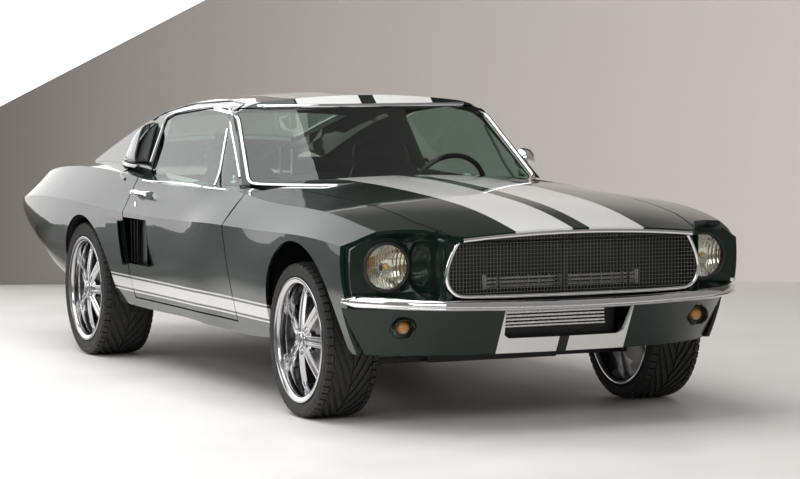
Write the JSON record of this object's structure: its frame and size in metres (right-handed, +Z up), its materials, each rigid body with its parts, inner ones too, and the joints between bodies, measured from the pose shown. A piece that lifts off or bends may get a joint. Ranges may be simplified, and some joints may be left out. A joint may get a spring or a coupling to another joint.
{
  "type": "fastback coupe car",
  "caption": "Two-door fastback muscle car with side scoops, opening doors, hood and trunk lid, steered front wheels and deep-dish spoked wheels.",
  "frame": {"origin": "on the ground, under the middle of the bounding box", "axes": "+X points forward, +Y to the left side of the car, +Z up"},
  "size_m": [4.7098, 1.8384, 1.3068],
  "materials": {
    "body_paint": "gloss metallic",
    "black_paint": "satin",
    "black_plastic": "matte",
    "glass": "clear",
    "dark_steel": "satin",
    "cast_iron": "as cast",
    "chrome": "polished",
    "lamp_glass": "clear",
    "amber_lamp": "gloss",
    "red_lamp": "gloss",
    "aluminium": "satin",
    "steel": "satin",
    "seat_vinyl": "satin",
    "rim_wood": "varnished",
    "polished_alloy": "polished",
    "tyre": "matte"
  },
  "bodies": {
    "body": {"cowl": "black_paint", "dashboard": "black_plastic", "driveline": "dark_steel", "engine": "cast_iron", "engine_bay": "black_paint", "exhaust": "steel", "fender_left": "body_paint", "fender_right": "body_paint", "firewall": "black_paint", "floor_pan": "black_paint", "front_bumper": "chrome", "front_seats": "seat_vinyl", "front_suspension": "dark_steel", "front_valance": "body_paint", "fuel_tank": "dark_steel", "grille": "black_plastic", "headlamps": "lamp_glass", "nose_panel": "body_paint", "package_shelf": "black_paint", "pillar_scoops": "body_paint", "quarter_left": "body_paint", "quarter_right": "body_paint", "radiators": "aluminium", "rear_bumper": "chrome", "rear_seat": "seat_vinyl", "rear_suspension": "dark_steel", "rear_valance": "body_paint", "rear_wheelhouses": "black_paint", "rear_window": "glass", "rockers": "body_paint", "roof_shell": "body_paint", "side_scoops": "body_paint", "steering_wheel": "rim_wood", "tail_lamps": "red_lamp", "tail_panel": "body_paint", "turn_lamps": "amber_lamp", "windshield": "glass"},
    "door_left": {"door_left": "body_paint", "door_glass_left": "glass", "door_mirror": "chrome"},
    "door_right": {"door_right": "body_paint", "door_glass_right": "glass"},
    "hood": {"hood": "body_paint"},
    "trunk_lid": {"trunk_lid": "body_paint"},
    "knuckle_left": {"knuckle_left": "cast_iron"},
    "knuckle_right": {"knuckle_right": "cast_iron"},
    "wheel_front_left": {"wheel_front_left": "polished_alloy", "tyre_front_left": "tyre"},
    "wheel_front_right": {"wheel_front_right": "polished_alloy", "tyre_front_right": "tyre"},
    "wheel_rear_left": {"wheel_rear_left": "polished_alloy", "tyre_rear_left": "tyre"},
    "wheel_rear_right": {"wheel_rear_right": "polished_alloy", "tyre_rear_right": "tyre"}
  },
  "joints": [
    {"name": "door_left_hinge", "type": "hinge", "parent": "body", "child": "door_left", "pos_m": [0.85, 0.8, 0.58], "axis": [0, 0, -1], "range_deg": [0, 65]},
    {"name": "door_right_hinge", "type": "hinge", "parent": "body", "child": "door_right", "pos_m": [0.85, -0.8, 0.58], "axis": [0, 0, 1], "range_deg": [0, 65]},
    {"name": "hood_hinge", "type": "hinge", "parent": "body", "child": "hood", "pos_m": [0.86, 0, 0.875], "axis": [0, -1, 0], "range_deg": [0, 50]},
    {"name": "trunk_hinge", "type": "hinge", "parent": "body", "child": "trunk_lid", "pos_m": [-1.592, 0, 0.978], "axis": [0, 1, 0], "range_deg": [0, 50]},
    {"name": "steer_left", "type": "hinge", "parent": "body", "child": "knuckle_left", "pos_m": [1.5, 0.655, 0.32], "axis": [0, 0, 1], "range_deg": [-32, 32]},
    {"name": "steer_right", "type": "hinge", "parent": "body", "child": "knuckle_right", "pos_m": [1.5, -0.655, 0.32], "axis": [0, 0, 1], "range_deg": [-32, 32]},
    {"name": "spin_front_left", "type": "hinge", "parent": "knuckle_left", "child": "wheel_front_left", "pos_m": [1.5, 0.748, 0.32], "axis": [0, 1, 0], "continuous": true},
    {"name": "spin_front_right", "type": "hinge", "parent": "knuckle_right", "child": "wheel_front_right", "pos_m": [1.5, -0.748, 0.32], "axis": [0, 1, 0], "continuous": true},
    {"name": "spin_rear_left", "type": "hinge", "parent": "body", "child": "wheel_rear_left", "pos_m": [-1.243, 0.745, 0.33], "axis": [0, 1, 0], "continuous": true},
    {"name": "spin_rear_right", "type": "hinge", "parent": "body", "child": "wheel_rear_right", "pos_m": [-1.243, -0.745, 0.33], "axis": [0, 1, 0], "continuous": true}
  ],
  "couplings": [
    {"joint": "steer_right", "follows": "steer_left", "ratio": 1}
  ]
}
